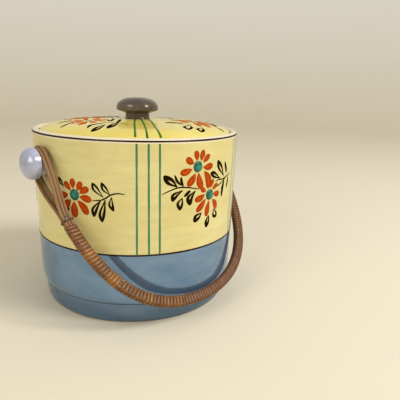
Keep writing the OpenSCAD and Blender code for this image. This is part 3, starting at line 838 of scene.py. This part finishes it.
def bail_at(v):
    """The handle's middle line at v, from -1 at the left ear to 1 at the right: the point and
    the way out from it, in the flat."""
    q, hand = 1 - abs(v), -1 if v < 0 else 1
    shift = hand * GRIP_SHIFT
    a, b = Vector((LOOP_X, 0)), Vector(BAIL_SIDE)
    c, d = Vector((shift + GRIP_PULL, BAIL)), Vector((shift, BAIL))
    p = (1 - q) ** 3 * a + 3 * (1 - q) ** 2 * q * b + 3 * (1 - q) * q * q * c + q ** 3 * d
    way = 3 * (1 - q) ** 2 * (b - a) + 6 * (1 - q) * q * (c - b) + 3 * q * q * (d - c)
    way = way.normalized()
    return Vector((hand * p.x, p.y)), Vector((hand * way.y, -way.x))


def hang(p):
    """From the flat [side, along, out] to where the handle rests against the jar."""
    return (p[0], -p[1] * math.cos(REST_ANGLE) - p[2] * math.sin(REST_ANGLE),
            EAR_Z - p[1] * math.sin(REST_ANGLE) + p[2] * math.cos(REST_ANGLE))


SAMPLES = 800
bail_v = [-1 + 2 * i / SAMPLES for i in range(SAMPLES + 1)]
bail_p = [bail_at(v)[0] for v in bail_v]
bail_s = [0.0]
for before, after in zip(bail_p, bail_p[1:]):
    bail_s.append(bail_s[-1] + (after - before).length)


def v_at_length(s):
    i = min(max(bisect.bisect(bail_s, s), 1), SAMPLES)
    t = (s - bail_s[i - 1]) / (bail_s[i] - bail_s[i - 1])
    return bail_v[i - 1] + t * (bail_v[i] - bail_v[i - 1])


def length_at(test):
    """The length along the handle of the first sample that passes the test."""
    return next(s for s, p, v in zip(bail_s, bail_p, bail_v) if test(p, v))


wrap_from = length_at(lambda p, v: p.y >= WRAP_START)
wrap_to = length_at(lambda p, v: v > 0 and p.y <= WRAP_START)
print(f"handle {bail_s[-1]:.0f} mm long, wrapped from {wrap_from:.0f} to {wrap_to:.0f}")

# %% [markdown]
# Cane is the core of a climbing palm: long straight fibres, no rings, a dull skin that polishes
# with use. Split cane is the glossy skin itself. A wood texture would show rings that cane
# hasn't got. Here noise is stretched along the piece instead, by a length value stored on each
# point, so that the fibres follow every bend.

# %% Cane finishes
FIBRE_STRETCH = 0.045


def cane_finish(name, light, dark, rough, fibre_mm, shade=0.0):
    """Fibres run along the piece. Its points hold its length (run), its turn (around), its own
    tone (own) and its edge."""
    finish, tree, shader, _ = new_finish(name)
    run, around, own, rim = (add(tree, "Attribute", out="Fac", attribute_name=key)
                             for key in ("run", "around", "own", "edge"))
    run = add(tree, "Math", {0: run, 1: FIBRE_STRETCH}, operation="MULTIPLY")
    around = add(tree, "Math", {0: around, 1: fibre_mm}, operation="DIVIDE")
    flat = add(tree, "CombineXYZ", {0: run, 1: around, 2: own})
    fibre = add(tree, "TexNoise", {"Vector": flat, "Scale": 1.0, "Detail": 4.0, "Roughness": 0.65})
    wide = add(tree, "TexNoise", {"Vector": flat, "Scale": 0.3, "Detail": 2.0})
    fine_part = add(tree, "Math", {0: fibre, 1: 0.6}, operation="MULTIPLY")
    share = add(tree, "Math", {0: wide, 1: 0.5, 2: fine_part}, operation="MULTIPLY_ADD")
    share = add(tree, "Math", {0: own, 1: shade, 2: share}, operation="MULTIPLY_ADD")
    share = add(tree, "MapRange", {0: share, 1: 0.35, 2: 0.8})
    colour = add(tree, "Mix", {0: share, 6: light, 7: dark}, 2, data_type="RGBA")
    # each strip is darker towards its edges, where it meets the next turn
    dark_edge = add(tree, "MapRange", {0: rim, 1: 0.8, 2: 1.0, 4: 0.7})
    colour = add(tree, "Mix", {0: dark_edge, 6: colour, 7: "#4A2C16"}, 2, data_type="RGBA")
    dull = add(tree, "MapRange", {0: fibre, 1: 0.3, 2: 0.7, 3: rough, 4: rough + 0.15})
    ridges = add(tree, "Bump", {"Height": fibre, "Distance": 0.1 * MM, "Strength": 0.6})
    plug(shader, {"Base Color": colour, "Roughness": dull, "Normal": ridges})
    return finish


# The round core is open fibre, so it stays dull. The split skin is hard and waxy, and shines.
CANE = cane_finish("round_cane", "#A47B4C", "#694A2A", 0.46, 0.35)
SPLIT = cane_finish("split_cane", "#AB7120", "#6C4010", 0.38, 0.5, 0.35)
print("finishes:", CANE.name, SPLIT.name)

# %% [markdown]
# Each cane is one closed loop. It could be a bevelled curve, but a curve can't hold the lengths
# that the fibres need. So a tube is swept along stops on its route, each a point and the way
# that its outer side faces. The radius wavers a little, as the plant grows.

# %% Canes


def tube(name, route, radius, sides, finish, seed, closed=True, wobble=0.04):
    """A round tube along stops (point, outward way), in the flat, then hung."""
    n = len(route)
    points, run, around = [], [], []
    gone = 0.0
    phase = random.Random(seed).uniform(0, 6)
    for i, (p, lean) in enumerate(route):
        before = route[i - 1][0] if closed or i else p
        after = route[(i + 1) % n][0] if closed or i < n - 1 else p
        way = (after - before).normalized()
        out = (lean - way * lean.dot(way)).normalized()
        across = way.cross(out)
        if i:
            gone += (p - route[i - 1][0]).length
        r = radius * (1 + wobble * math.sin(gone / 9 + phase) * math.sin(gone / 23 + seed))
        for j in range(sides + 1):
            a = 2 * math.pi * j / sides
            points.append(hang(p + r * (out * math.cos(a) + across * math.sin(a))))
            run.append(gone)
            around.append(radius * a)
    faces = grid_faces(n, sides + 1, 0, closed)
    values = {"run": run, "around": around, "own": [seed % 7 / 7] * len(points),
              "edge": [0.0] * len(points)}
    return make_piece(name, points, faces, finish, "handle", values)


def row_height(along):
    """How far a row lies from the plane: wide round the ear, closed at the end of the eye."""
    q = min(1, max(0, along / EYE))
    return ROW + (LOOP_R - ROW) * (1 - q ** 2.5) ** 2


def middle_lift(along):
    """Round the ears the middle cane rides up on the two beside it."""
    return EAR_LIFT * (1 - min(1, max(0, along / EYE)) ** 2)


def cane_route(k, bends=64, round_ear=20):
    """Stops of cane k, which is -1 next to the jar, 0 in the middle and 1 next to the caps."""
    def run_of(row, order):
        stops = []
        for v in order:
            p, out = bail_at(v)
            lift = middle_lift(p.y)
            high = row_height(p.y) + (lift if k == 0 else 0)
            p = p + out * k * math.sqrt(CANE_PITCH ** 2 - lift ** 2)
            stops.append((Vector((p.x, p.y, row * high)), Vector((out.x, out.y, 0))))
        return stops

    def loop(hand, start):
        """Half a turn round one ear, from the front row (start 1) or from the back row (-1)."""
        stops = []
        r = LOOP_R + (EAR_LIFT if k == 0 else 0)
        for i in range(1, round_ear):
            a = math.radians(start * (90 - 180 * i / round_ear))
            place = Vector((hand * (LOOP_X + k * EAR_PITCH), -r * math.cos(a), r * math.sin(a)))
            stops.append((place, Vector((hand, 0, 0))))
        return stops

    down = [1 - i / bends for i in range(2 * bends + 1)]
    return run_of(1, down) + loop(-1, 1) + run_of(-1, down[::-1]) + loop(1, -1)


for name, k in (("cane_inner", -1), ("cane_middle", 0), ("cane_outer", 1)):
    piece = tube(name + "_round", cane_route(k), CANE_R, 14, CANE, 11 + k * 3)
    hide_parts(name)
print("three canes")

# %% [markdown]
# Above the wrapping two turns of steel wire close each eye. They could be two rings, but wire is
# one length: it starts under its own turns, goes round the bundle twice, and its end lies over
# the turns, up the handle's front.

# %% Wire bindings
WIRE_R = 0.36
WIRE_TURNS = 2
WIRE_PITCH = 0.85
WIRE_STEPS = 48
# Where on the bundle the wire starts and ends, as an angle from its outer side
WIRE_END = 1.3
# Its start comes up from between the canes over so many steps, from so deep
TUCK_STEPS, TUCK_DEPTH = 8, 1.2
# Its end runs back up the handle in so many steps, each so far along and so far inwards
END_STEPS, END_STEP = 8, (0.5, 0.3)
WIRE_CORNER = 0.4
BINDING_AT = 44.5
# The rubbed grey sets in between these two distances from the wire's end
RUBBED = (6.0, 4.0)


def oblong(half, angle, corner):
    """A rounded oblong round the bundle, half = (outwards, square to the plane)."""
    c, s = math.cos(angle), math.sin(angle)
    return (half[0] * math.copysign(abs(c) ** corner, c),
            half[1] * math.copysign(abs(s) ** corner, s))


def round_handle(s, offset):
    """A place on the handle at the length s, offset by (outwards, square to the plane)."""
    p, out = bail_at(v_at_length(s))
    p = p + out * offset[0]
    return Vector((p.x, p.y, offset[1]))


def binding_stops(at, hand):
    """Stops of one wire: its turns, and its end along the handle's front."""
    places = []
    for i in range(WIRE_STEPS * WIRE_TURNS + 1):
        turn = i / WIRE_STEPS
        tuck = TUCK_DEPTH * max(0, TUCK_STEPS - i) / TUCK_STEPS
        half = [h + WIRE_R - tuck for h in BUNDLE_HALF]
        along = at + hand * (turn - WIRE_TURNS / 2) * WIRE_PITCH
        places.append((along, oblong(half, 2 * math.pi * turn + WIRE_END, WIRE_CORNER)))
    last = oblong([h + 2.2 * WIRE_R for h in BUNDLE_HALF], WIRE_END, WIRE_CORNER)
    for i in range(1, END_STEPS + 1):
        along = at + hand * (WIRE_TURNS * WIRE_PITCH / 2 - END_STEP[0] * i)
        places.append((along, (last[0] - END_STEP[1] * i, last[1])))
    middle = round_handle(at, (0, 0))
    stops = [round_handle(*place) for place in places]
    return [(p, p - middle) for p in stops]


def wire_finish(length):
    """Drawn steel wire, brown with age and blurred, grey only where its end was rubbed."""
    finish, tree, shader, place = new_finish("dull_steel_wire")
    stain = patches(tree, place, 1.5, (0.4, 0.65))
    run = add(tree, "Attribute", out="Fac", attribute_name="run")
    rubbed = add(tree, "MapRange", {0: run, 1: length - RUBBED[0], 2: length - RUBBED[1]})
    darkened = add(tree, "Mix", {0: stain, 6: "#86643F", 7: "#543A26"}, 2, data_type="RGBA")
    steel = add(tree, "Mix", {0: stain, 6: "#8791A0", 7: "#555B66"}, 2, data_type="RGBA")
    colour = add(tree, "Mix", {0: rubbed, 6: darkened, 7: steel}, 2, data_type="RGBA")
    dull = add(tree, "MapRange", {0: stain, 3: 0.35, 4: 0.6})
    plug(shader, {"Base Color": colour, "Metallic": 0.7, "Roughness": dull})
    return finish


bind_left = length_at(lambda p, v: p.y >= BINDING_AT)
bind_right = length_at(lambda p, v: v > 0 and p.y <= BINDING_AT)
left_stops, right_stops = binding_stops(bind_left, 1), binding_stops(bind_right, -1)
wire_length = sum((b[0] - a[0]).length for a, b in zip(left_stops, left_stops[1:]))
WIRE = wire_finish(wire_length)
for name, stops in (("binding_left", left_stops), ("binding_right", right_stops)):
    piece = tube(name + "_turns", stops, WIRE_R, 8, WIRE, 3, False, 0.0)
    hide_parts(name)
print(f"two bindings of {wire_length:.0f} mm of wire")

# %% [markdown]
# The grip is wound with split cane, cut into a flat strip. Three lengths follow each other, and
# each end is tucked under its own turns. The turns could be a bump on a plain sleeve, but they
# shape the handle's outline. So a cross-section is swept round and round: flat underneath, a
# little arched on top, each turn a shade apart from the next and at its own tone.

# %% Split cane wrapping
STRIP_W = 2.4
STRIP_T = 0.5
TURN_PITCH = 2.55
STEPS_PER_TURN = 24
STRIP_CORNER = 0.5
STRIP_START = -2.2
# The fibres' length in one turn, and how far a tucked end dives
TURN_RUN = 20
DIVE = 0.35
# The strip's section, as shares of its width and thickness
STRIP_FORM = [(-0.5, -0.5), (-0.5, 0.16), (-0.42, 0.4), (0.0, 0.5), (0.42, 0.4), (0.5, 0.16),
              (0.5, -0.5)]


def outward(half, angle, step=0.01):
    """The way straight out of the oblong at an angle."""
    a, b = (oblong(half, angle + turned, STRIP_CORNER) for turned in (-step, step))
    return Vector((b[1] - a[1], a[0] - b[0])).normalized()


def winding(name, start, end, seed, darkened, snug):
    """A strip wound from start to end, in millimetres along the handle. The argument after seed
    makes its tones darker, 0 to 1, and snug is the least width of a turn, as a share of the
    strip's: less leaves wider gaps."""
    rng = random.Random(seed)
    turns = (end - start - STRIP_W) / TURN_PITCH
    count = int(turns) + 2
    drift = [rng.uniform(-0.16, 0.16) for _ in range(count + 1)]
    tone = [rng.uniform(darkened, darkened + 0.8) for _ in range(count + 1)]
    wide = [rng.uniform(snug, snug + 0.13) for _ in range(count + 1)]
    middle = [(a + b) / 2 for a, b in zip(WRAP_HALF, BUNDLE_HALF)]
    points, run, around, own, edge = [], [], [], [], []
    steps = int(turns * STEPS_PER_TURN)
    for i in range(steps + 1):
        turn = i / STEPS_PER_TURN
        n, t = int(turn), turn - int(turn)
        soft = t * t * (3 - 2 * t)
        at = start + STRIP_W / 2 + TURN_PITCH * turn + drift[n] * (1 - soft) + drift[n + 1] * soft
        angle = 2 * math.pi * turn + STRIP_START
        width = STRIP_W * (wide[n] * (1 - soft) + wide[n + 1] * soft)
        # the first and last quarter of a turn dives under its neighbour
        tuck = max(0, 1 - turn * 4, 1 - (turns - turn) * 4)
        off, out = oblong(middle, angle, STRIP_CORNER), outward(middle, angle)
        for across, up in STRIP_FORM:
            rise = up * STRIP_T - DIVE * tuck
            place = (off[0] + out.x * rise, off[1] + out.y * rise)
            points.append(hang(round_handle(at + across * width * (1 - 0.5 * tuck), place)))
            run.append(turn * TURN_RUN)
            around.append(across * width)
            own.append(tone[n] * (1 - soft) + tone[n + 1] * soft)
            edge.append(2 * abs(across) if up > 0 else 1.0)
    ring = len(STRIP_FORM)
    faces = grid_faces(steps + 1, ring)
    # the flat underside, and a cap on each end
    faces += [(i * ring + ring - 1, (i + 1) * ring + ring - 1, (i + 1) * ring, i * ring)
              for i in range(steps)]
    faces += [tuple(range(ring - 1, -1, -1)), tuple(steps * ring + j for j in range(ring))]
    faces = [f[::-1] for f in faces]
    values = {"run": run, "around": around, "own": own, "edge": edge}
    return make_piece(name, points, faces, SPLIT, "handle", values)


# The joints' distances in from the handle's left side, and how far two lengths overlap
JOINTS = (18.75, 58.75)
OVERLAP = 0.8
# the second number of each length darkens its tones, most on the right length
LENGTHS = (("wrap_left", 0.0, 0.9), ("wrap_middle", 0.1, 0.78), ("wrap_right", 0.7, 0.92))
ends = [wrap_from, *(length_at(lambda p, v, x=x: p.x >= x - LOOP_X) for x in JOINTS), wrap_to]
for i, (node, darkened, snug) in enumerate(LENGTHS):
    first, last = ends[i] - (OVERLAP if i else 0), ends[i + 1] + (OVERLAP if i < 2 else 0)
    piece = winding(node + "_winding", first, last, 40 + i, darkened, snug)
    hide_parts(node)
print("wound", round(wrap_to - wrap_from), "mm of handle")

# %% [markdown]
# A pale dish of floor that rises into a backdrop on every side keeps the same quiet ground for
# each view. A plane would do for one view, but its horizon shows from the others. It is matt, so
# it takes the shadow softly and lights the lustre from below.

# %% Floor and backdrop
FLOOR_R = 1.6
BEND_R = 0.7
BACKDROP_H = 2.4
FLOOR_SIDES = 96


def floor_finish():
    """Matt card or plaster, with no highlight of its own."""
    finish, tree, shader, place = new_finish("pale_floor")
    soft = add(tree, "TexNoise", {"Vector": place, "Scale": PER_MM / 400, "Detail": 3.0})
    colour = add(tree, "Mix", {0: soft, 6: "#E8DEC4", 7: "#ECE3CD"}, 2, data_type="RGBA")
    # the backdrop grows whiter upwards, because less light reaches it there
    up = add(tree, "MapRange", {0: add(tree, "SeparateXYZ", {0: place}, 2), 1: 0.0, 2: 0.6})
    colour = add(tree, "Mix", {0: up, 6: colour, 7: "#FAF8F2"}, 2, data_type="RGBA")
    plug(shader, {"Base Color": colour, "Roughness": 0.85})
    return finish


outline = [(0.0, 0.0), (FLOOR_R, 0.0)]
outline += [(FLOOR_R + BEND_R * math.sin(a), BEND_R * (1 - math.cos(a)))
            for a in (math.radians(d) for d in range(6, 91, 6))]
outline.append((FLOOR_R + BEND_R, BACKDROP_H))
turns = [2 * math.pi * i / FLOOR_SIDES for i in range(FLOOR_SIDES)]
floor_points = [(r * math.cos(a), r * math.sin(a), z) for a in turns for r, z in outline]
floor_faces = [f[::-1] for f in grid_faces(FLOOR_SIDES, len(outline), 0, True)]
floor_mesh = bpy.data.meshes.new("floor")
floor_mesh.from_pydata(floor_points, [], floor_faces)
floor_mesh.polygons.foreach_set("use_smooth", [True] * len(floor_mesh.polygons))
floor_mesh.materials.append(floor_finish())
floor = bpy.data.objects.new("floor", floor_mesh)
bpy.context.scene.collection.objects.link(floor)
print(f"floor {2 * FLOOR_R} m across, backdrop {BACKDROP_H} m high")

# %% [markdown]
# Soft studio light: a large lamp in front above the camera's right, a weaker one on its left,
# and an even pale sky. A small lamp would be quicker, but glaze mirrors it as a hard dot. Their
# strengths are set so that a colour renders about as it is written.

# %% Lights
LAMP_AIM = Vector((0, 0, 0.07))
SKY_STRENGTH = 0.52


def softbox(name, at, size, watts):
    """A round white lamp at a place, aimed at the middle of the jar."""
    lamp = bpy.data.lights.new(name, "AREA")
    lamp.shape = "DISK"
    lamp.size = size
    lamp.energy = watts
    holder = bpy.data.objects.new(name, lamp)
    bpy.context.scene.collection.objects.link(holder)
    holder.location = at
    holder.rotation_euler = (LAMP_AIM - Vector(at)).to_track_quat("-Z", "Y").to_euler()


softbox("key", (0.45, -1.15, 1.15), 0.6, 16.5)
softbox("fill", (-1.3, -0.2, 0.7), 0.8, 4.5)
world = bpy.data.worlds.new("studio")
world.use_nodes = True
plug(world.node_tree.nodes["Background"], {"Color": "#FFFFFF", "Strength": SKY_STRENGTH})
bpy.context.scene.world = world
bpy.context.scene.view_settings.view_transform = "Standard"
print("two lamps and a sky of strength", SKY_STRENGTH)
